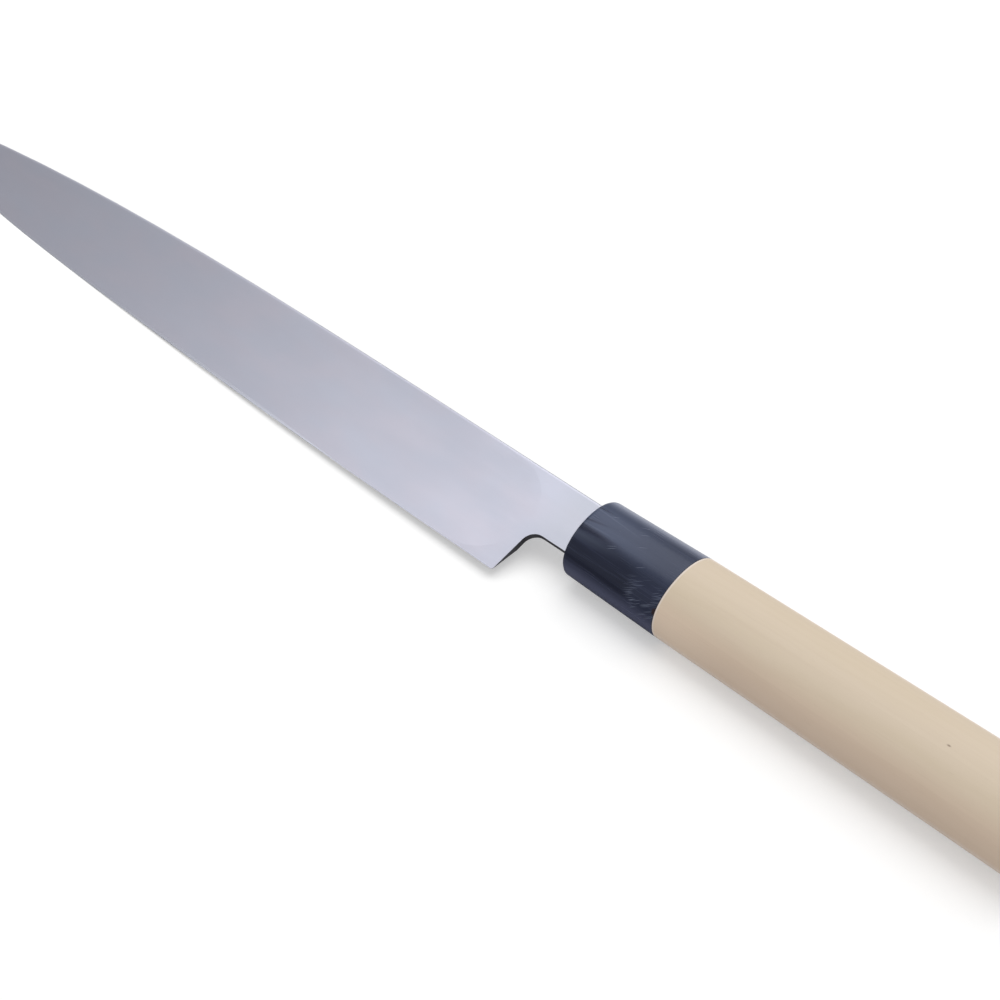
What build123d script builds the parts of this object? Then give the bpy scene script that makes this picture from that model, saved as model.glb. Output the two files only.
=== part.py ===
from build123d import *
import math
import os

# A yanagiba, the long single-bevel slicing knife with a hollow back.
# Lengths are in millimetres, angles in degrees.
# It is made upright: x runs from the front of the ferrule to the tip, y to the hollow back, z to the spine.
# At the end it is laid down as it rests on a table, with its back up.

# Ferrule, a ring of horn, and the tenon of the wood that fills its bore
ferrule_length = 30.2
front_half_height = 10.8
front_half_width = 8.82
ferrule_wall = 1.8
front_round = 1.0
tenon_clearance = 0.05
mouth_recess = 0.4

# Rest of the handle, a chestnut shape: an oval with a soft ridge on the bevel side
handle_length = 140.0
joint_half_height = 11.55
joint_half_width = 9.43
butt_half_height = 12.85
butt_half_width = 10.49
butt_round = 1.4

# How far the ridge stands out past the half width, as a share of it
ridge_stand_share = 0.1

# How full the curves of its section are: 0.552 would make a true oval
oval_share = 0.584
flank_share = 0.6
ridge_share = 0.15

# Where each curve of the section is cut in two, so that its facets follow the tighter bend
curve_cut_share = 0.5

# Neck, with the wood that is left above and below it in the mouth of the ferrule
neck_thickness = 2.4
neck_insert = 3.0
spine_cover = 0.9
foot_cover = 2.1

# Broken corner under the neck, which runs out along the heel's face before it comes to the heel's corner
neck_chamfer = 0.85
heel_clearance = 0.2

# Tang, hidden in the handle, and the gap that the resin fills
tang_length = 96.0
tang_root_height = 10.0
tang_end_height = 5.0
tang_root_thickness = 2.2
tang_end_thickness = 1.6
bed_gap = 0.3

# Outline of the blade, seen from its back
blade_length = 240.0
heel_gap = 14.0
heel_height = 29.1
tip_drop = 9.6
tip_face = 0.25
heel_lean = 0.6
heel_corner_radius = 0.7
notch_radius = 3.6

# The spine falls with one power of the way to the tip.
# The edge rises with two: a long one from the heel, and a quick one at the tip.
spine_power = 3.9
edge_power = 2.2
tip_power = 16
long_curve_share = 0.38

# Sections of the blade
tip_thickness = 1.5
bevel_height = 10.8
edge_land = 0.07
spine_chamfer = 0.3

# Hollow of the back, as a large wheel grinds it, and the flat rims that it leaves
wheel_radius = 300.0
edge_rim = 0.55
spine_rim = 1.0
hollow_heel_gap = 1.5
hollow_heel_fade = 14.0
hollow_tip_gap = 12.0
hollow_tip_fade = 16.0

# How far a cutter runs past what it cuts, and a fused piece into its neighbour
overrun = 2.0

# Roll of the knife on to its edge side, where it balances between the ferrule's flank and the edge
lay_roll = 20.4
lay_steps = 6

# Shares of the blade's length where its curves and sections are set out, closer towards the tip
station_shares = [0, 0.2, 0.4, 0.6, 0.74, 0.82, 0.88, 0.92, 0.95, 0.975, 1]

# Shares of the quarter turn of a rounded rim, between its facets
rim_shares = [0, 0.3, 0.55, 0.78, 1]

# Shares of the stretch where the hollow is at its full depth, and of the fades at both its ends.
# Past 1 the wheel is clear of the blade.
hollow_shares = [0, 0.3, 0.6, 0.8, 0.9, 1]
fade_shares = [0.3, 0.6, 0.9, 1.15]

# Places that follow from the sizes
bore_half_height = front_half_height - ferrule_wall
bore_half_width = front_half_width - ferrule_wall
spine_lift = bore_half_height - spine_cover
neck_z = foot_cover - bore_half_height
heel_z = spine_lift - heel_height
edge_rise = heel_height - tip_drop - tip_face
tip_x = heel_gap + blade_length
back_y = neck_thickness / 2
bevel_side_y = -neck_thickness / 2


def spine_z(x):
    """Height of the spine at x."""
    along = max(0, (x - heel_gap) / blade_length)
    return spine_lift - tip_drop * along**spine_power


def edge_z(x):
    """Height of the cutting edge at x."""
    along = max(0, (x - heel_gap) / blade_length)
    long_curve = long_curve_share * along**edge_power
    tip_curve = (1 - long_curve_share) * along**tip_power
    return heel_z + edge_rise * (long_curve + tip_curve)


def blade_stations():
    """Places along the blade, from the heel to the tip."""
    return [heel_gap + share * blade_length for share in station_shares]


def round_corner(face, corner, radius):
    """The face with one of its corners rounded."""
    return face.fillet_2d(radius, [face.vertices().sort_by_distance(corner)[0]])


def blade_profile():
    """The outline of blade and neck, with the notch behind the heel."""
    spine_points = [(x, bevel_side_y, spine_z(x)) for x in blade_stations()]
    edge_points = [(x, bevel_side_y, edge_z(x)) for x in reversed(blade_stations())]
    heel = edge_points[-1]
    notch = (heel_gap - heel_lean, bevel_side_y, neck_z)
    neck_top = (-neck_insert, bevel_side_y, spine_lift)
    neck_bottom = (-neck_insert, bevel_side_y, neck_z)
    outline = Face(Wire([
        Line(neck_top, spine_points[0]),
        Spline(*spine_points),
        Line(spine_points[-1], edge_points[0]),
        Spline(*edge_points),
        Line(heel, notch),
        Line(notch, neck_bottom),
        Line(neck_bottom, neck_top),
    ]))
    outline = round_corner(outline, heel, heel_corner_radius)
    return round_corner(outline, notch, notch_radius)


def notch_space(outset):
    """The space under neck and heel, widened into the steel by outset. The widening runs out at the heel."""
    y = bevel_side_y + neck_chamfer - outset
    left_x = -neck_insert - overrun
    foot_x = heel_gap - heel_clearance
    low_z = heel_z - overrun
    corner = (heel_gap - heel_lean + outset, y, neck_z + outset)
    space = Face(Wire.make_polygon([
        (left_x, y, neck_z + outset),
        corner,
        (foot_x, y, heel_z),
        (foot_x, y, low_z),
        (left_x, y, low_z),
    ]))
    return round_corner(space, corner, notch_radius + outset).outer_wire()


def neck_chamfer_cutter():
    """The broken corner under the neck and round the notch, on the bevel side."""
    return Solid.make_loft([notch_space(-neck_chamfer), notch_space(2 * neck_chamfer)], ruled=True)


def bevel_flat_y(x):
    """The flat of the bevel side at x, even along the neck and then thinned towards the tip."""
    return bevel_side_y + max(0, x - heel_gap) * (neck_thickness - tip_thickness) / blade_length


def taper_cutter():
    """What is ground off the flat of the bevel side, so that the blade thins from its heel to its tip."""
    far_x = tip_x + overrun
    low_z = heel_z - overrun
    plan = Face(Wire.make_polygon([
        (heel_gap, bevel_side_y, low_z),
        (far_x, bevel_flat_y(far_x), low_z),
        (far_x, bevel_side_y - overrun, low_z),
        (heel_gap, bevel_side_y - overrun, low_z),
    ]))
    return Solid.extrude(plan, (0, 0, heel_height + 2 * overrun))


def spine_chamfer_section(x, outward):
    """What is cut off one corner of the spine at x: on the back's side outward is 1, and on the other -1."""
    face_y = back_y if outward > 0 else bevel_flat_y(x)
    outside_y = face_y + outward * overrun
    return Wire.make_polygon([
        (x, outside_y, spine_z(x) + overrun),
        (x, outside_y, spine_z(x) - spine_chamfer - overrun),
        (x, face_y - outward * (spine_chamfer + overrun), spine_z(x) + overrun),
    ])


def spine_chamfer_cutter(outward):
    """The broken corner along one side of the spine, from inside the handle to past the tip."""
    stations = [-neck_insert - overrun, *blade_stations(), tip_x + overrun]
    return Solid.make_loft([spine_chamfer_section(x, outward) for x in stations])


def bevel_section(x):
    """The wedge that is ground off at x to make the bevel."""
    lean = (neck_thickness - edge_land) / bevel_height
    land_y = back_y - edge_land
    low_z = edge_z(x) - overrun
    high_z = edge_z(x) + bevel_height + overrun
    far_y = land_y - lean * (bevel_height + overrun)
    return Wire.make_polygon([
        (x, land_y + lean * overrun, low_z),
        (x, far_y, high_z),
        (x, far_y, low_z),
    ])


def bevel_cutter():
    """The wedges along the whole edge, joined into one smooth cutter."""
    stations = [heel_gap - heel_lean - overrun, *blade_stations(), tip_x + overrun]
    return Solid.make_loft([bevel_section(x) for x in stations])


def hollow_section(x, fade_share):
    """The wheel's face at x, which rises out of the blade as the fade's share nears 1."""
    low_z = edge_z(x) + edge_rim
    high_z = spine_z(x) - spine_rim
    middle_z = (low_z + high_z) / 2
    half_width = (high_z - low_z) / 2
    reach = half_width + overrun
    full_depth = wheel_radius - math.sqrt(wheel_radius**2 - half_width**2)
    rise = wheel_radius - math.sqrt(wheel_radius**2 - reach**2)
    bottom_y = back_y - full_depth * (1 - fade_share**2)
    bottom = (x, bottom_y, middle_z)
    low_side = (x, bottom_y + rise, middle_z - reach)
    high_side = (x, bottom_y + rise, middle_z + reach)
    low_top = (x, back_y + overrun, middle_z - reach)
    high_top = (x, back_y + overrun, middle_z + reach)
    return Wire([
        ThreePointArc(low_side, bottom, high_side),
        Line(high_side, high_top),
        Line(high_top, low_top),
        Line(low_top, low_side),
    ])


def hollow_cutter():
    """The wheel's path from the heel to the tip, which follows the rims along spine and edge."""
    full_start = heel_gap + hollow_heel_gap + hollow_heel_fade
    full_end = tip_x - hollow_tip_gap - hollow_tip_fade
    stations = [(full_start - hollow_heel_fade * share, share) for share in reversed(fade_shares)]
    stations += [(full_start + (full_end - full_start) * share, 0) for share in hollow_shares]
    stations += [(full_end + hollow_tip_fade * share, share) for share in fade_shares]
    return Solid.make_loft([hollow_section(x, share) for x, share in stations])


def bar_end(x, thickness, low_z, high_z):
    """The rectangle at one end of a bar."""
    low_side = (x, -thickness / 2, low_z)
    high_side = (x, thickness / 2, low_z)
    return Wire.make_polygon([low_side, high_side, (x, thickness / 2, high_z), (x, -thickness / 2, high_z)])


def tang_form(gap):
    """The tapered tang with a gap all round, from the shoulder of the neck to its end."""
    root_reach = tang_root_height / 2 + gap
    end_reach = tang_end_height / 2 + gap
    root = bar_end(gap - neck_insert, tang_root_thickness + 2 * gap, -root_reach, root_reach)
    end = bar_end(-tang_length - gap, tang_end_thickness + 2 * gap, -end_reach, end_reach)
    return Solid.make_loft([root, end], ruled=True)


def neck_form(gap):
    """The end of the neck inside the handle, with a gap all round."""
    ends = [bar_end(x, neck_thickness + 2 * gap, neck_z - gap, spine_lift + gap)
            for x in (-mouth_recess, -neck_insert - gap)]
    return Solid.make_loft(ends, ruled=True)


def handle_section(x, half_height, half_width):
    """The chestnut section at x: round on the side of the blade's back, ridged on the other."""
    ridge_y = -half_width * (1 + ridge_stand_share)
    top = (x, 0, half_height)
    side = (x, half_width, 0)
    ridge = (x, ridge_y, 0)
    top_to_side = Bezier(
        top,
        (x, oval_share * half_width, half_height),
        (x, half_width, oval_share * half_height),
        side,
    )
    top_to_ridge = Bezier(
        top,
        (x, flank_share * ridge_y, half_height),
        (x, ridge_y, ridge_share * half_height),
        ridge,
    )
    upper = []
    for curve in (top_to_side, top_to_ridge):
        upper += [curve.trim(0, curve_cut_share), curve.trim(curve_cut_share, 1)]
    return Wire(upper + [curve.mirror(Plane.XY) for curve in upper])


def ferrule_size(x):
    """Half height and half width of the ferrule at x. It tapers evenly to its front."""
    along = -x / ferrule_length
    half_height = front_half_height + (joint_half_height - front_half_height) * along
    half_width = front_half_width + (joint_half_width - front_half_width) * along
    return half_height, half_width


def rounded_rim(inner_x, outer_x, half_height, half_width):
    """The rounded rim of an end, in narrow facets that follow a quarter circle."""
    radius = abs(outer_x - inner_x)
    sections = []
    for share in rim_shares:
        turn = math.radians(90 * share)
        x = inner_x + (outer_x - inner_x) * math.sin(turn)
        step_in = radius * (1 - math.cos(turn))
        sections.append(handle_section(x, half_height - step_in, half_width - step_in))
    return Solid.make_loft(sections, ruled=True)


def oval_bar(front_x, back_x, half_height, half_width):
    """A straight oval bar along the handle."""
    front = Plane((front_x, 0, 0), x_dir=(0, 0, 1), z_dir=(-1, 0, 0))
    oval = Face(Wire.make_ellipse(half_height, half_width, front))
    return Solid.extrude(oval, (back_x - front_x, 0, 0))


def make_blade():
    """Blade, neck and tang, one piece of steel."""
    plate = Solid.extrude(blade_profile(), (0, neck_thickness, 0))
    plate = plate - taper_cutter() - neck_chamfer_cutter()
    plate = plate - spine_chamfer_cutter(1) - spine_chamfer_cutter(-1)
    return plate - bevel_cutter() - hollow_cutter() + tang_form(0)


def make_ferrule():
    """The horn ring at the front of the handle, with a rounded front."""
    front_size = ferrule_size(-front_round)
    body = Solid.make_loft([
        handle_section(-front_round, *front_size),
        handle_section(-ferrule_length, joint_half_height, joint_half_width),
    ], ruled=True)
    bore = oval_bar(overrun, -ferrule_length - overrun, bore_half_height, bore_half_width)
    return body + rounded_rim(-front_round, 0, *front_size) - bore


def make_handle():
    """The wood, with a tenon that fills the ferrule and a burnt-in hole for the tang."""
    butt_x = butt_round - handle_length
    grip = Solid.make_loft([
        handle_section(-ferrule_length, joint_half_height, joint_half_width),
        handle_section(butt_x, butt_half_height, butt_half_width),
    ], ruled=True)
    butt = rounded_rim(butt_x, -handle_length, butt_half_height, butt_half_width)
    tenon_half_height = bore_half_height - tenon_clearance
    tenon_half_width = bore_half_width - tenon_clearance
    tenon = oval_bar(-mouth_recess, -ferrule_length - overrun, tenon_half_height, tenon_half_width)
    return grip + butt + tenon - tang_form(bed_gap) - neck_form(bed_gap)


def make_tang_resin(blade):
    """The resin that fills the gap between tang and wood and seals the mouth."""
    return tang_form(bed_gap) + neck_form(bed_gap) - blade


def lay_down(pieces):
    """The pieces as they lie on the table, with the origin under the middle of the knife.
    The tip dips until the edge and the ferrule both touch."""
    dip = 0
    for step in range(lay_steps):
        pose = Rotation(0, dip, 0) * Rotation(90 - lay_roll, 0, 0)
        blade_low = (pose * pieces["blade"]).bounding_box().min.Z
        ferrule_low = (pose * pieces["ferrule"]).bounding_box().min.Z
        dip += math.degrees(math.atan2(blade_low - ferrule_low, blade_length))
    whole = (pose * Compound(list(pieces.values()))).bounding_box()
    middle = (whole.min + whole.max) / 2
    to_table = Location((-middle.X, -middle.Y, -whole.min.Z)) * pose
    print("The knife rolls by", lay_roll, "degrees and dips by", round(dip, 3), "on to", to_table.position)
    return {name: to_table * piece for name, piece in pieces.items()}


def main():
    blade = make_blade()
    pieces = {
        "blade": blade,
        "ferrule": make_ferrule(),
        "handle": make_handle(),
        "tang_resin": make_tang_resin(blade),
    }
    os.makedirs("parts", exist_ok=True)
    for name, piece in lay_down(pieces).items():
        export_step(piece, "parts/" + name + ".step")


main()
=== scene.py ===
# %% [markdown]
# # A yanagiba on a pale table
#
# The knife comes in as a packed CAD model: blade, horn ferrule, wooden handle and the resin round the tang.
# Its shapes are finished, so this lesson is about surfaces: satin steel, polished horn and sanded wood.
# Everything is in metres, in the frame of the model. The tip points along +X, and the hollow back looks up.

# %% The packed knife
import math

import bpy
from mathutils import Euler, Matrix, Vector

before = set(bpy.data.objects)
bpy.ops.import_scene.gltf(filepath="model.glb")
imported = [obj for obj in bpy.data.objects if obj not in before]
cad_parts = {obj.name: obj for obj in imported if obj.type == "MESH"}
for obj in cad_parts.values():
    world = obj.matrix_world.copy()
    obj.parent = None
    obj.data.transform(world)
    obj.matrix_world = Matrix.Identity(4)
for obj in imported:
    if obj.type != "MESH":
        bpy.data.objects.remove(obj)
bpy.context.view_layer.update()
scene = bpy.context.scene
mm_per_m = 1000
print("nodes:", sorted(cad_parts))

# %% [markdown]
# ## The camera
#
# The photograph is taken from close by, so the tip and the butt run out of it.
# A camera can be tracked to a target, but a place and three angles hold it exactly, so they stand here.
# They were worked out from the straight lines of the blade, the heel and the ferrule.

# %% A camera where the photographer stood
camera_place = Vector((-0.4092, 0.3939, 0.4999))
camera_turn_deg = (47.931, -1.135, -135.023)
focal_length_mm = 108

camera = bpy.data.objects.new("camera", bpy.data.cameras.new("camera"))
camera.location = camera_place
camera.rotation_euler = Euler([math.radians(angle) for angle in camera_turn_deg])
camera.data.lens = focal_length_mm
scene.collection.objects.link(camera)
scene.camera = camera
print("the camera is", round(camera_place.length, 3), "m from the middle of the knife")

# %% [markdown]
# ## Light
#
# A knife is photographed under one broad soft box, and the steel shows that box and the dim room round it.
# Several small lamps would light the knife as well, but each would show in the steel as a spot of its own.
# The box hangs behind the knife. The blade mirrors its near corner at the heel and runs off it towards the
# tip, so the steel darkens along its length. The bright band on the horn is painted light, and it ends where
# that corner would.
# The world is an even grey. Together they light a level surface about as brightly as its colour is written.

# %% One soft box and a dim room
room_strength = 0.56
box_low = Vector((-0.60, -1.30))
box_high = Vector((0.97, 0.25))
box_height = 1.25
box_radiance = 1.52

scene.view_settings.view_transform = "Standard"
world = bpy.data.worlds.new("room")
world.use_nodes = True
world.node_tree.nodes["Background"].inputs["Color"].default_value = (1, 1, 1, 1)
world.node_tree.nodes["Background"].inputs["Strength"].default_value = room_strength
scene.world = world

box_size = box_high - box_low
box_middle = (box_low + box_high) / 2
box_light = bpy.data.lights.new("soft_box", "AREA")
box_light.shape = "RECTANGLE"
box_light.size, box_light.size_y = box_size
# A flat lamp gives off pi times its radiance from each square metre
box_light.energy = box_radiance * math.pi * box_size.x * box_size.y
soft_box = bpy.data.objects.new("soft_box", box_light)
soft_box.location = (*box_middle, box_height)
scene.collection.objects.link(soft_box)
print("soft box of", round(box_light.energy, 1), "W, centred at",
      [round(side, 2) for side in soft_box.location])

# %% [markdown]
# ## Numbers that change over a surface
#
# A finish is a small sum: so much grain, a little less near the edge, more where it was rubbed.
# In the node editor such a sum is a chain of Math nodes, which is slow to wire and hard to read back.
# Python can write it as a sum, if an object stands for each node's output and knows what + and * mean.
# `Field` is that object, and `Finish` is the material that it belongs to.

# %% Sums over a surface
class Field:
    """What one node gives at each point of a surface. Sums on it add Math nodes."""

    def __init__(self, finish, socket):
        self.finish = finish
        self.socket = socket

    def also(self, output):
        """Another output of the same node."""
        return Field(self.finish, self.socket.node.outputs[output])

    def dot(self, direction):
        """How far a place lies along a direction."""
        sockets = {"Vector": self, "Vector_001": direction}
        return self.finish.node("VectorMath", {"operation": "DOT_PRODUCT"}, sockets, "Value")

    def __add__(self, other):
        return self.finish.sum("ADD", self, other)

    __radd__ = __add__

    def __sub__(self, other):
        return self.finish.sum("SUBTRACT", self, other)

    def __rsub__(self, other):
        return self.finish.sum("SUBTRACT", other, self)

    def __mul__(self, other):
        return self.finish.sum("MULTIPLY", self, other)

    __rmul__ = __mul__

    def __truediv__(self, other):
        return self.finish.sum("DIVIDE", self, other)

    def __pow__(self, power):
        return self.finish.sum("POWER", self, power)

    def __lt__(self, other):
        return self.finish.sum("LESS_THAN", self, other)


print("a Field can be added, subtracted, multiplied, divided, raised to a power and compared")

# %% A material that grows node by node
class Finish:
    """A material in the making."""

    def __init__(self, name):
        self.material = bpy.data.materials.new(name)
        self.material.use_nodes = True
        self.tree = self.material.node_tree
        self.tree.nodes.clear()

    def node(self, kind, settings=None, sockets=None, gives=None):
        """Adds any node: first its settings, then its sockets' values or links. It gives one output."""
        node = self.tree.nodes.new("ShaderNode" + kind)
        for name, value in (settings or {}).items():
            setattr(node, name, value)
        inputs = {socket.identifier: socket for socket in node.inputs}
        for name, value in (sockets or {}).items():
            if isinstance(value, Field):
                self.tree.links.new(value.socket, inputs[name])
            else:
                inputs[name].default_value = value
        outputs = {socket.identifier: socket for socket in node.outputs}
        return Field(self, outputs[gives or next(iter(outputs))]) if outputs else None

    def sum(self, operation, first, second):
        """One Math node."""
        return self.node("Math", {"operation": operation}, {"Value": first, "Value_001": second})

    def ramp(self, value, start, full):
        """A soft step: 0 up to the start, 1 from full on. It falls if the start is the higher of the two."""
        sockets = {"Value": value, "From Min": start, "From Max": full}
        return self.node("MapRange", {"interpolation_type": "SMOOTHSTEP"}, sockets)

    def band(self, value, start, full, waning, end):
        """A soft band: 1 between full and waning, and 0 before the start and after the end."""
        return self.ramp(value, start, full) * self.ramp(value, end, waning)

    def blend(self, share, first, second):
        """A colour between two, by a share from 0 to 1."""
        sockets = {"Factor_Float": share, "A_Color": first, "B_Color": second}
        return self.node("Mix", {"data_type": "RGBA"}, sockets, "Result_Color")

    def paint(self, ground, coats):
        """Lays coats over a ground colour, in turn: a mask, then how strongly it covers and its colour."""
        for mask, (strength, tone) in coats:
            ground = self.blend(mask * strength, ground, tone)
        return ground

    def place(self, x, y, z):
        """Three numbers as one place, to look a texture up at."""
        return self.node("CombineXYZ", None, {"X": x, "Y": y, "Z": z})

    def noise(self, place, waves, detail, roughness, start=(0, 0, 0)):
        """Soft noise round the middle of 0 to 1, with so many waves to a unit in each direction."""
        sockets = {"Vector": place, "Vector_001": waves, "Vector_002": start}
        scaled = self.node("VectorMath", {"operation": "MULTIPLY_ADD"}, sockets)
        sockets = {"Vector": scaled, "Scale": 1.0, "Detail": detail, "Roughness": roughness}
        return self.node("TexNoise", None, sockets)

    def bump(self, height_mm, **sockets):
        """A Normal that follows a height in millimetres."""
        return self.node("Bump", None, {"Height": height_mm, "Distance": 1 / mm_per_m, **sockets})

    def shader(self, sockets, slot, *pieces):
        """Ends the material in a Principled shader, and gives it to the pieces. The slot is not used."""
        surface = self.node("BsdfPrincipled", None, sockets)
        self.node("OutputMaterial", None, {"Surface": surface})
        for piece in pieces:
            piece.data.materials.clear()
            piece.data.materials.append(self.material)
        print(self.material.name, "has", len(self.tree.nodes), "nodes")


print("a Finish can", ", ".join(name for name in vars(Finish) if not name.startswith("_")))

# %% Colours as a screen shows them
screen_white = 255
screen_curve = 2.2


def linear(red, green, blue):
    """A colour as a screen shows it, 0 to 255, in the even steps of light that Blender counts in."""
    return tuple((value / screen_white) ** screen_curve for value in (red, green, blue)) + (1,)


print("half of screen white is", round(0.5 ** screen_curve, 3), "of its light")

# %% [markdown]
# ## The knife's own directions
#
# The knife lies tilted on its bevel side, so the frame's X, Y and Z cut slantwise through it.
# Grain, scratches and grinding marks follow the knife. They could follow an unwrapped UV map, but every
# piece would need its own, with seams. Three distances need none, so each finish of the knife starts from
# them: `along` from the mouth of the ferrule towards the tip, `back` towards the hollow face, and `rise`
# towards the spine.

# %% Distances along, through and up the knife
lay_roll_deg = 20.4
dip_deg = 1.3
mouth = Vector((-0.05688, -0.00382, 0.00928))

dip = Matrix.Rotation(math.radians(dip_deg), 3, "Y")
lie = dip @ Matrix.Rotation(math.radians(90 - lay_roll_deg), 3, "X")
along_axis = lie @ Vector((1, 0, 0))
back_axis = lie @ Vector((0, 1, 0))
rise_axis = lie @ Vector((0, 0, 1))


def knife_distances(finish):
    """Three Fields: along, back and rise, in millimetres from the middle of the ferrule's mouth."""
    place = finish.node("TexCoord", None, None, "Object")
    axes = (along_axis, back_axis, rise_axis)
    return [place.dot(axis * mm_per_m) - mouth.dot(axis) * mm_per_m for axis in axes]


print("the back looks towards", [round(part, 3) for part in back_axis])

# %% [markdown]
# ## Satin steel
#
# The blade is one bar of steel with several finishes. The hollow back and the flat of the bevel side are
# lapped lengthwise to a soft satin. The narrow rim along the edge lies flat on the whetstone, so it is
# brighter. A pale line under the spine and the spine itself are painted highlights. The neck is painted a
# little darker. The bevel is hazier, with fine marks that run across it. The heel and the underside of the
# neck are only filed, and as they face down they are also painted darker, as shade.
#
# Each finish could be a material on its own faces, but its border would then be as hard as the mesh. Here
# one material tells them apart by distance and by the way the surface looks, with soft steps in between.
# The line under the spine needs one sum more, because the spine drops towards the tip.
# The hollow starts at a faint crease near the heel, which the stone has blended away. The shading leaves
# out the lengthwise tilt of the back, so that the crease doesn't show although the model keeps it.

# %% Sizes of the blade and borders of its finishes
half_thickness_mm = 1.2
thinned_mm = 0.9
heel_mm = 14.0
blade_mm = 240.0
spine_mm = 8.1
tip_drop_mm = 9.6
spine_power = 3.9

# A soft step goes from its start to where it is full. The first three compare directions, the rest places.
squarely = (0.5, 0.8)
upwards = (0.4, 0.95)
downwards = (0.3, -0.1)
rim_level_mm = (half_thickness_mm - 0.012, half_thickness_mm - 0.004)
rim_along_mm = (heel_mm + 14, heel_mm + 60)
edge_half_mm = (2, -2)
neck_mm = (heel_mm + 4, heel_mm - 8)
bevel_depth_mm = (0.01, 0.03)
under_spine_mm = (0.9, 0.3)
print("the bar is", 2 * half_thickness_mm, "mm thick at the heel and",
      round(2 * half_thickness_mm - thinned_mm, 1), "at the tip")

# %% Marks and tones of steel
# Noise: waves to a millimetre along, through and up the knife, then detail, roughness and where it starts
lapping_marks = ((0.02, 6, 6), 3.0, 0.7)
bevel_marks = ((5, 0.3, 0.3), 3.0, 0.7)
wear_clouds = ((0.035, 0.2, 0.09), 3.0, 0.55)
tint_clouds = ((0.06, 0.1, 0.12), 2.0, 0.5, (40, 0, 0))
tint_contrast = (0.3, 0.7)
soft_contrast = (0.35, 0.65)
lapping_depth_mm = 0.0012
bevel_depth_more_mm = 0.001
noise_middle = 0.5

# Roughness: the satin's own, and how much each mark or finish takes or adds
satin_roughness = 0.33
rougher_in_clouds = 0.06
rougher_in_grain = 0.12
smoother_on_rim = 0.06
rougher_on_bevel = 0.07
rougher_where_filed = 0.16

# A coat over the cool satin: how strongly it covers, and its colour
cool_satin = linear(172, 174, 187)
warm_satin = (1.0, linear(175, 174, 186))
worn_steel = (0.3, linear(166, 168, 181))
# The neck is painted a little darker.
darker_neck_steel = (0.6, linear(164, 167, 176))
whetted_rim = (0.5, linear(196, 199, 210))
hazy_bevel = (0.5, linear(170, 172, 180))
# Painted highlight: a pale line just under the spine.
painted_highlight_under_spine = (0.32, linear(228, 228, 242))
# Painted highlight on the narrow spine.
painted_spine_highlight = (0.9, linear(232, 235, 244))
# The filed faces that look down: rougher, and painted much darker as shade.
filed_steel_and_painted_shade = (0.9, linear(120, 119, 122))
print("the filed faces send back", round(filed_steel_and_painted_shade[1][1] / cool_satin[1], 2), "of the satin's light")


# %% The blade
def steel(*pieces):
    """Satin steel, with rim, bevel, spine and filed faces told apart."""
    finish = Finish("satin_steel")
    along, back, rise = knife_distances(finish)
    knife = finish.place(along, back, rise)
    normal = finish.node("NewGeometry", None, None, "Normal")
    to_back = normal.dot(back_axis)
    to_spine = normal.dot(rise_axis)

    on_back = finish.ramp(to_back, *squarely)
    on_bevel_side = finish.ramp(0 - to_back, *squarely)
    level = on_back * finish.ramp(back, *rim_level_mm)
    rim = level * finish.ramp(along, *rim_along_mm) * finish.ramp(rise, *edge_half_mm)
    neck = finish.ramp(along, *neck_mm)
    flat_depth = back + half_thickness_mm - thinned_mm / blade_mm * (along - heel_mm)
    bevel = on_bevel_side * finish.ramp(flat_depth, *bevel_depth_mm)
    to_tip = finish.sum("MAXIMUM", (along - heel_mm) / blade_mm, 0.0)
    below_spine = spine_mm - tip_drop_mm * to_tip ** spine_power - rise
    # Painted highlights: a pale line just under the spine, and on the spine itself.
    highlight_under_spine = on_back * finish.ramp(below_spine, *under_spine_mm)
    spine = finish.ramp(to_spine, *upwards)
    # Faces that look down are filed, and their colour carries painted shade.
    filed = (1 - on_back - on_bevel_side) * finish.ramp(to_spine, *downwards)

    clouds = finish.noise(knife, *wear_clouds)
    tints = finish.noise(knife, *tint_clouds)
    grain = finish.noise(knife, *lapping_marks) * (1 - bevel) + finish.noise(knife, *bevel_marks) * bevel
    colour = finish.paint(cool_satin, [
        (finish.ramp(tints, *tint_contrast), warm_satin),
        (finish.ramp(clouds, *soft_contrast), worn_steel),
        (neck, darker_neck_steel),
        (rim, whetted_rim),
        (bevel, hazy_bevel),
        (highlight_under_spine, painted_highlight_under_spine),
        (spine, painted_spine_highlight),
        (filed, filed_steel_and_painted_shade),
    ])

    roughness = satin_roughness + (clouds - noise_middle) * rougher_in_clouds
    roughness = roughness + (grain - noise_middle) * rougher_in_grain - rim * smoother_on_rim
    roughness = roughness + bevel * rougher_on_bevel + filed * rougher_where_filed
    height = (grain - noise_middle) * (lapping_depth_mm + bevel * bevel_depth_more_mm)
    tilt = on_back * normal.dot(along_axis)
    sockets = {"Vector": tilt, "Vector_001": -along_axis, "Vector_002": normal}
    stoned = finish.node("VectorMath", {"operation": "MULTIPLY_ADD"}, sockets)
    finish.shader({
        "Base Color": colour,
        "Metallic": 1.0,
        "Roughness": roughness,
        "Normal": finish.bump(height, Normal=stoned),
    }, "blade_steel", *pieces)


steel(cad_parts["blade"])

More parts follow.
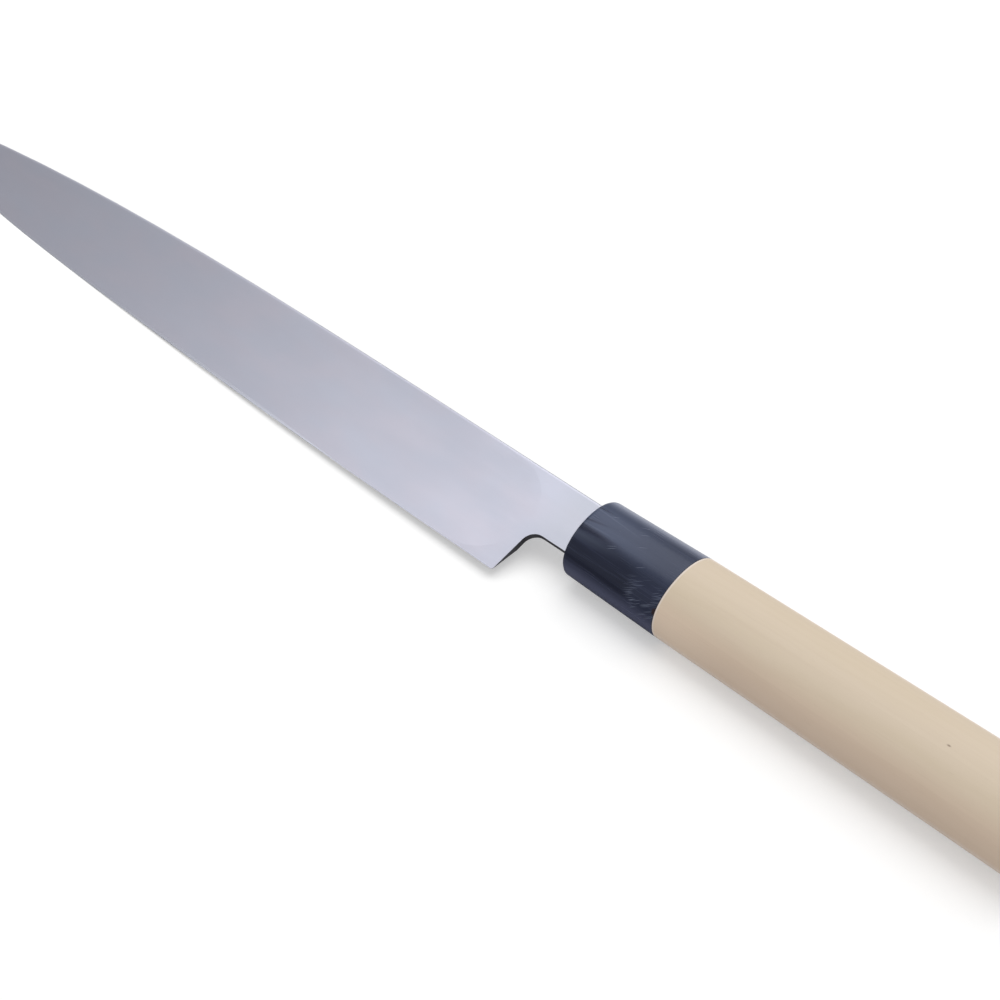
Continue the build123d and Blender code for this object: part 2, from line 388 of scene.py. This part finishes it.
# %% [markdown]
# ## Polished horn
#
# Buffalo horn is a stack of fine lengthwise fibres, almost black, with blue-grey streaks where light gets
# in. Noise alone would scatter such streaks anywhere, so each one is given its own place, width and drift
# across the skin, and fades towards its end. The horn is buffed to a gloss, which the specular tint turns
# slightly blue. A broad band of painted light lies over its upper side, its crest carries a painted
# highlight and its underside a painted reflection.
# Handling leaves short fine scratches. They could be painted on a picture of the skin, but a script can
# draw them too: a scratch is a very long thin cell of a Voronoi texture, laid on the ferrule as if its skin
# were unrolled. Each cell holds one mark in its middle, and only some cells are picked: many low at the
# rear, where the hand rubs, and few elsewhere. A speck of glue sits low at the joint.

# %% Streaks and scratches on an unrolled skin
skin_radius_mm = 10.5

# A mark fills this share of its cell's length and width, and is solid up to this share from its middle
mark_share = 0.4
solid_share = 0.4


def unroll(finish, back, rise):
    """The way round the handle in millimetres: 0 where the back faces, more towards the spine."""
    return finish.sum("ARCTAN2", rise, back) * skin_radius_mm


def streak(finish, along, around, front_mm, drift, half_width_mm, full_mm, end_mm):
    """One soft lengthwise streak as a mask. It is at its fullest at the front and gone at its end."""
    off = finish.node("Math", {"operation": "ABSOLUTE"}, {"Value": around - front_mm - along * drift})
    return finish.ramp(off, half_width_mm, 0.0) * finish.ramp(along, end_mm, full_mm)


def scratches(finish, along, around, turn_deg, length_mm, width_mm, kept, seed):
    """Short straight scratches as a mask. Only a share of the cells is kept."""
    turn = math.radians(turn_deg)
    lengthwise = along * math.cos(turn) + around * math.sin(turn)
    crosswise = around * math.cos(turn) - along * math.sin(turn)
    across_cells = crosswise * (mark_share / width_mm)
    cells = finish.place(lengthwise * (mark_share / length_mm) + seed, across_cells, 0.0)
    sockets = {"Vector": cells, "Scale": 1.0}
    mark = finish.node("TexVoronoi", {"voronoi_dimensions": "2D"}, sockets, "Distance")
    luck = finish.node("SeparateColor", None, {"Color": mark.also("Color")}, "Red")
    return finish.ramp(mark, mark_share / 2, mark_share / 2 * solid_share) * (luck < kept)


print("the unrolled skin is", round(2 * math.pi * skin_radius_mm), "mm round")

# %% Places of the horn's marks
ferrule_mm = 30.2

# A streak: its place round the skin at the mouth, its drift, its half width, and where it is full and ends
dark_streaks = [
    (0.4, -0.22, 0.6, -0.5, -9.0),
    (-2.6, -0.11, 0.9, -0.5, -16.0),
    (5.9, -0.05, 0.5, -0.5, -7.0),
]
pale_streaks = [
    (5.3, 0.08, 0.35, -4.0, -18.0),
    (-0.8, -0.06, 0.5, -4.0, -13.0),
]
middle_streak = (-4.2, -0.06, 2.4, -0.5, -22.0)

# Scratches: turn in degrees, length, width, the share that is kept, and a seed
rubbed_scratches = [
    (-30, 4.0, 0.12, 0.4, 3.0),
    (-36, 2.8, 0.11, 0.36, 11.0),
    (-24, 3.4, 0.11, 0.36, 47.0),
]
stray_scratches = (-33, 3.2, 0.12, 0.04, 61.0)

# The glue's place along and up the knife, its squeeze along it, how ragged its border is, and that border
glue_place = (-29.9, -8.95)
glue_squeeze = 0.9
glue_ragged_mm = 0.8
glue_border_mm = (0.9, 0.5)

# Where the painted light on the horn begins: the border's shift and drift round the skin, and how much it
# softens
lit_shift_mm = 0.6
lit_drift = 0.06
lit_start_mm = -1.2
lit_full_mm = 0.9
lit_softer_mm = 4

# Other borders round the skin and along it, and how squarely the rounded front faces the blade
far_side_mm = (32.0, 26.0)
rear_mm = (-4.0, -28.0)
# Where the painted highlight on the crest and the painted reflection on the underside lie.
horn_crest_mm = (7.5, 11.8, 13.5, 22.0)
horn_underside_mm = (-10.5, -15.0, -17.0, -24.0)
rubbed_low_mm = (-3.5, -7.0)
rubbed_lowest_mm = (-14.5, -11.5)
rubbed_rear_mm = (-18.0, -23.0)
joint_line_mm = (0.3 - ferrule_mm, 0.1 - ferrule_mm)
frontal = (0.1, 0.6)
print(1 + len(dark_streaks + pale_streaks), "streaks and", 1 + len(rubbed_scratches), "sets of scratches")

# %% Fibres and tones of horn
horn_fibres = ((0.04, 1.2, 0.2), 4.0, 0.6)
horn_bands = ((0.03, 0.3, 0), 2.0, 0.5, (7, 0, 0))
horn_haze = ((0.12, 0.12, 0.12), 3.0, 0.6, (0, 0, 20))
fibre_contrast = (0.5, 0.7)
fibre_height_mm = 0.004
scratch_depth_mm = 0.003

# Roughness: the polish's own, and how much each mark adds
polish_roughness = 0.26
rougher_in_haze = 0.1
rougher_in_fibres = 0.1
rougher_in_scratches = 0.2
rougher_at_front = 0.3
horn_ior = 1.5

# A coat over the black horn: how strongly it covers, and its colour
black_horn = linear(16, 21, 41)
# Painted light: a broad band over the upper side, standing for the soft box's reflection.
painted_light_on_horn = (1.0, linear(66, 74, 96))
middle_grey = (0.8, linear(68, 74, 90))
banded_horn = (0.25, linear(38, 44, 66))
fibrous_horn = (0.2, linear(72, 79, 102))
rubbed_horn = (0.6, linear(54, 60, 82))
# Painted reflection on the underside and painted highlight on the crest.
painted_reflection_underside = (0.8, linear(78, 82, 108))
painted_highlight_crest = (0.6, linear(134, 141, 164))
pale_line = (0.35, linear(98, 106, 128))
dark_line = (0.85, linear(12, 16, 44))
scratch_white = (0.5, linear(140, 149, 170))
joint_shadow = (0.8, linear(22, 22, 32))
brown_glue = (1.0, linear(44, 24, 22))
polish_tint = linear(228, 235, 255)
painted_light_rear_fade = 0.55
print("black horn sends back", round(100 * black_horn[1], 2), "% of the light")


# %% The ferrule
def horn(*pieces):
    """Polished black horn with streaks and fine scratches."""
    finish = Finish("polished_horn")
    along, back, rise = knife_distances(finish)
    around = unroll(finish, back, rise)
    skin = finish.place(along, around, back)
    to_front = finish.node("NewGeometry", None, None, "Normal").dot(along_axis)
    fibres = finish.noise(skin, *horn_fibres)
    bands = finish.noise(skin, *horn_bands)
    haze = finish.noise(finish.place(along, back, rise), *horn_haze)

    rear = finish.ramp(along, *rear_mm)
    # Painted light over the upper side, softer and dimmer to the rear, and gone on the far side.
    over = around + lit_shift_mm - along * lit_drift
    painted_light_band = finish.ramp(over, lit_start_mm - rear * lit_softer_mm, lit_full_mm)
    painted_light_band = painted_light_band * finish.ramp(around, *far_side_mm) * (1 - rear * painted_light_rear_fade)
    rubbed = finish.ramp(around, *rubbed_low_mm) * finish.ramp(along, *rubbed_rear_mm)
    rubbed = rubbed * finish.ramp(around, *rubbed_lowest_mm)
    dark = sum(streak(finish, along, around, *line) for line in dark_streaks)
    pale = sum(streak(finish, along, around, *line) for line in pale_streaks)
    marks = sum(scratches(finish, along, around, *kind) for kind in rubbed_scratches) * rubbed
    marks = marks + scratches(finish, along, around, *stray_scratches)
    glue_along = (along - glue_place[0]) * glue_squeeze
    glue_off = (glue_along ** 2 + (rise - glue_place[1]) ** 2) ** 0.5
    glue_off = glue_off + (haze - noise_middle) * glue_ragged_mm

    colour = finish.paint(black_horn, [
        (painted_light_band, painted_light_on_horn),
        (streak(finish, along, around, *middle_streak), middle_grey),
        (finish.ramp(bands, *soft_contrast), banded_horn),
        (finish.ramp(fibres, *fibre_contrast), fibrous_horn),
        (rubbed * haze, rubbed_horn),
        (finish.band(around, *horn_underside_mm), painted_reflection_underside),
        (finish.band(around, *horn_crest_mm), painted_highlight_crest),
        (pale, pale_line),
        (dark, dark_line),
        (marks, scratch_white),
        (finish.ramp(along, *joint_line_mm), joint_shadow),
        (finish.ramp(glue_off, *glue_border_mm), brown_glue),
    ])
    roughness = polish_roughness + (haze - noise_middle) * rougher_in_haze
    roughness = roughness + (fibres - noise_middle) * rougher_in_fibres + marks * rougher_in_scratches
    finish.shader({
        "Base Color": colour,
        "Roughness": roughness + finish.ramp(to_front, *frontal) * rougher_at_front,
        "IOR": horn_ior,
        "Specular Tint": polish_tint,
        "Normal": finish.bump((fibres - noise_middle) * fibre_height_mm - marks * scratch_depth_mm),
    }, "ferrule_horn", *pieces)


horn(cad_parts["ferrule"])

# %% [markdown]
# ## Bare sanded wood
#
# The handle is a straight-grained pale wood, sanded smooth and left without varnish. A photograph of a
# plank could be wrapped round it, but it would smear over the butt, where a real block shows its rings.
# A tree's rings are nested cylinders, so the colour is looked up by the distance from a far pith. One sum
# then gives straight lines along the sides and shallow arcs on the butt. Fine pores run lengthwise.
#
# Sanding leaves a nap of tiny fibres, which catches light at a slant. The shader's sheen gives that pale
# edge. Next to the horn the wood is painted lighter as bounced light, its crest and underside are painted
# paler as highlight and bounced light, and the side between them is painted warmer and a little darker as
# shade. A pin knot the size of a seed sits near the butt.

# %% Rings, borders and marks of the wood
pith_back_mm = -70.0
pith_rise_mm = 38.0
ring_mm = 1.9
ring_sway_mm = 7
late_wood = (0.45, 0.95, 0.96, 1.0)

wood_sway = ((0.008, 0.03, 0.03), 2.0, 0.5)
wood_fibres = ((0.03, 4, 4), 4.0, 0.65)
wood_pores = ((0.25, 9, 9), 2.0, 0.6)
wood_broad = ((0.012, 0.09, 0.09), 3.0, 0.5)
streak_contrast = (0.5, 0.8)
pore_contrast = (0.66, 0.8)
nap_height_mm = 0.008
pore_depth_mm = 0.004

# Roughness: the sanded wood's own, and how much fibres and end grain add
sanded_roughness = 0.58
rougher_in_nap = 0.16
rougher_on_butt = 0.1
sheen_weight = 0.15
sheen_roughness = 0.4

# Where painted highlight and bounced light lie on the crest and underside.
wood_crest_mm = (11.2, 12.6, 14.5, 22.0)
wood_underside_mm = (-15.0, -16.6, -18.0, -28.0)
# The side between crest and underside, which gets painted shade.
shaded_side_mm = (-3.0, -11.0, -17.0, -26.0)
# Where painted bounced light lies, next to the horn and low on the side.
bounce_along_mm = (-56.0, -34.0)
bounce_around_mm = (-5.0, -11.0)
end_facing = (0.6, 0.95)
joint_rim_mm = (-ferrule_mm - 0.52, -ferrule_mm - 0.4)

# The pin knot's place along and round the handle, its squeeze in those directions, and its border
knot_place = (-109.6, 1.66)
knot_squeeze = (0.4, 2)
knot_border_mm = (0.5, 0.1)
print("the pith lies", round(math.hypot(pith_back_mm, pith_rise_mm)), "mm from the middle of the handle")

# %% Tones of the wood
# A coat over the cream: how strongly it covers, and its colour
cream = linear(216, 199, 175)
pale_cream = (1.0, linear(218, 201, 179))
# Painted shade: a warmer, slightly darker tone on the side that turns away from the light.
painted_shade_tint = (0.6, linear(218, 192, 171))
# Painted bounced light next to the horn.
painted_bounce_light = (0.5, linear(238, 216, 192))
# Painted highlight and bounced light on the crest and underside.
painted_edge_light = (0.5, linear(240, 225, 214))
ring_line = (1.0, linear(192, 170, 142))
fibre_line = (0.14, linear(190, 168, 144))
pore_brown = (0.2, linear(160, 134, 108))
end_grain = (0.35, linear(186, 162, 132))
scorched_wood = (0.8, linear(92, 66, 44))
knot_brown = (0.7, linear(120, 96, 80))
joint_rim = (0.65, linear(234, 222, 214))
nap_tint = linear(255, 236, 232)
ring_on_sides = 0.05
ring_more_on_butt = 0.4
print("cream wood sends back", round(100 * cream[1]), "% of the light")


# %% The handle
def wood(*pieces):
    """Pale straight-grained wood, with end grain on the butt and scorched round the tang."""
    finish = Finish("sanded_wood")
    along, back, rise = knife_distances(finish)
    around = unroll(finish, back, rise)
    block = finish.place(along, back, rise)
    to_front = finish.node("NewGeometry", None, None, "Normal").dot(along_axis)
    fibres = finish.noise(block, *wood_fibres)
    pores = finish.ramp(finish.noise(block, *wood_pores), *pore_contrast)
    broad = finish.noise(block, *wood_broad)

    off_pith = ((back - pith_back_mm) ** 2 + (rise - pith_rise_mm) ** 2) ** 0.5
    swayed = off_pith + (finish.noise(block, *wood_sway) - noise_middle) * ring_sway_mm
    ring = finish.node("Math", {"operation": "FRACT"}, {"Value": swayed / ring_mm})

    butt = finish.ramp(0 - to_front, *end_facing)
    mouth_end = finish.ramp(to_front, *end_facing)
    # Painted highlight and bounced light along the crest and underside, and painted bounced light next to
    # the horn.
    painted_edge_mask = finish.band(around, *wood_crest_mm) + finish.band(around, *wood_underside_mm)
    bounce_light_mask = finish.ramp(along, *bounce_along_mm) * finish.ramp(around, *bounce_around_mm)
    knot_along = (along - knot_place[0]) ** 2 * knot_squeeze[0]
    knot_off = (knot_along + (around - knot_place[1]) ** 2 * knot_squeeze[1]) ** 0.5

    colour = finish.paint(cream, [
        (finish.ramp(broad, *soft_contrast), pale_cream),
        (finish.band(around, *shaded_side_mm), painted_shade_tint),
        (bounce_light_mask, painted_bounce_light),
        (painted_edge_mask * (1 - butt), painted_edge_light),
        (finish.band(ring, *late_wood) * (ring_on_sides + butt * ring_more_on_butt), ring_line),
        (finish.ramp(fibres, *streak_contrast), fibre_line),
        (pores, pore_brown),
        (butt, end_grain),
        (mouth_end, scorched_wood),
        (finish.ramp(knot_off, *knot_border_mm), knot_brown),
        (finish.ramp(along, *joint_rim_mm) * (1 - mouth_end), joint_rim),
    ])
    nap = fibres - noise_middle
    finish.shader({
        "Base Color": colour,
        "Roughness": sanded_roughness + nap * rougher_in_nap + butt * rougher_on_butt,
        "Sheen Weight": sheen_weight,
        "Sheen Roughness": sheen_roughness,
        "Sheen Tint": nap_tint,
        "Normal": finish.bump(nap * nap_height_mm - pores * pore_depth_mm),
    }, "handle_wood", *pieces)


wood(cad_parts["handle"])

# %% [markdown]
# ## Resin in the mouth
#
# The tang is burnt into the handle and bedded in resin, which shows only as a thin brown line round the
# neck. A flat brown would do for so little, but set resin is lumpy and uneven in tone, and one noise gives
# both.

# %% The resin
resin_lumps = ((0.6, 0.9, 0.9), 3.0, 0.6)
lump_height_mm = 0.06
resin_roughness = 0.3
rougher_on_lumps = 0.3
deep_brown = linear(74, 50, 28)
amber_brown = linear(112, 80, 46)


def resin(*pieces):
    """Hardened brown resin, slightly uneven."""
    finish = Finish("cured_resin")
    lumps = finish.noise(finish.place(*knife_distances(finish)), *resin_lumps)
    finish.shader({
        "Base Color": finish.blend(finish.ramp(lumps, *soft_contrast), deep_brown, amber_brown),
        "Roughness": resin_roughness + lumps * rougher_on_lumps,
        "Normal": finish.bump(lumps * lump_height_mm),
    }, "bed_resin", *pieces)


resin(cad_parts["tang_resin"])

# %% [markdown]
# ## The table
#
# The knife lies on a plain matt sheet, pale enough to pass for white, which still shows its soft shadow.
# A curved backdrop would hide the horizon, but the camera looks down, so a plane that runs far past the
# view is enough. The camera sees it white, with part of that white as a faint glow, so that the shadow stays
# light. Horn and steel mirror it white behind the knife and grey in front, where a real table ends and the
# dark room begins.

# %% Size and tones of the sheet
table_half_m = 12.0
behind_knife_m = (0.0, -0.05)
sheet_tooth = ((1, 1, 1), 3.0, 0.6)
sheet_roughness = 0.9
black = linear(0, 0, 0)
sheet_white = linear(216, 216, 216)
sheet_whiter = linear(219, 219, 219)
sheet_in_light = linear(228, 228, 228)
mirrored_front = linear(150, 150, 152)
mirrored_behind = linear(240, 240, 242)
sheet_glow = linear(166, 166, 166)
print("the camera's glow is", round(sheet_glow[0], 2), "of white")


# %% The sheet under the knife
def table():
    """A wide level sheet."""
    mesh = bpy.data.meshes.new("table")
    corners = [Vector((x, y, 0)) * table_half_m for x, y in ((-1, -1), (1, -1), (1, 1), (-1, 1))]
    mesh.from_pydata(corners, [], [(0, 1, 2, 3)])
    sheet = bpy.data.objects.new("table", mesh)
    scene.collection.objects.link(sheet)

    finish = Finish("matt_sheet")
    to_camera = finish.node("LightPath", None, None, "Is Camera Ray")
    to_gloss = to_camera.also("Is Glossy Ray")
    place = finish.node("TexCoord", None, None, "Object")
    across = finish.node("SeparateXYZ", None, {"Vector": place}, "Y")
    white = finish.blend(finish.noise(place, *sheet_tooth), sheet_white, sheet_whiter)
    mirrored = finish.blend(finish.ramp(across, *behind_knife_m), mirrored_front, mirrored_behind)
    seen_by_things = finish.blend(to_gloss, sheet_in_light, mirrored)
    surface = finish.node("BsdfPrincipled", None, {
        "Base Color": finish.blend(to_camera, seen_by_things, white),
        "Roughness": sheet_roughness,
        "Specular IOR Level": 0.0,
        "Emission Color": finish.blend(to_camera, black, sheet_glow),
        "Emission Strength": 1.0,
    })
    finish.node("OutputMaterial", None, {"Surface": surface})
    mesh.materials.append(finish.material)
    print("the sheet is", 2 * table_half_m, "m wide")


table()

# %% [markdown]
# ## The size of what shows
#
# The finishes could have been given real thickness, as meshes of their own, but satin, polish and sanding
# add none that can be seen, so the size stays the model's own.
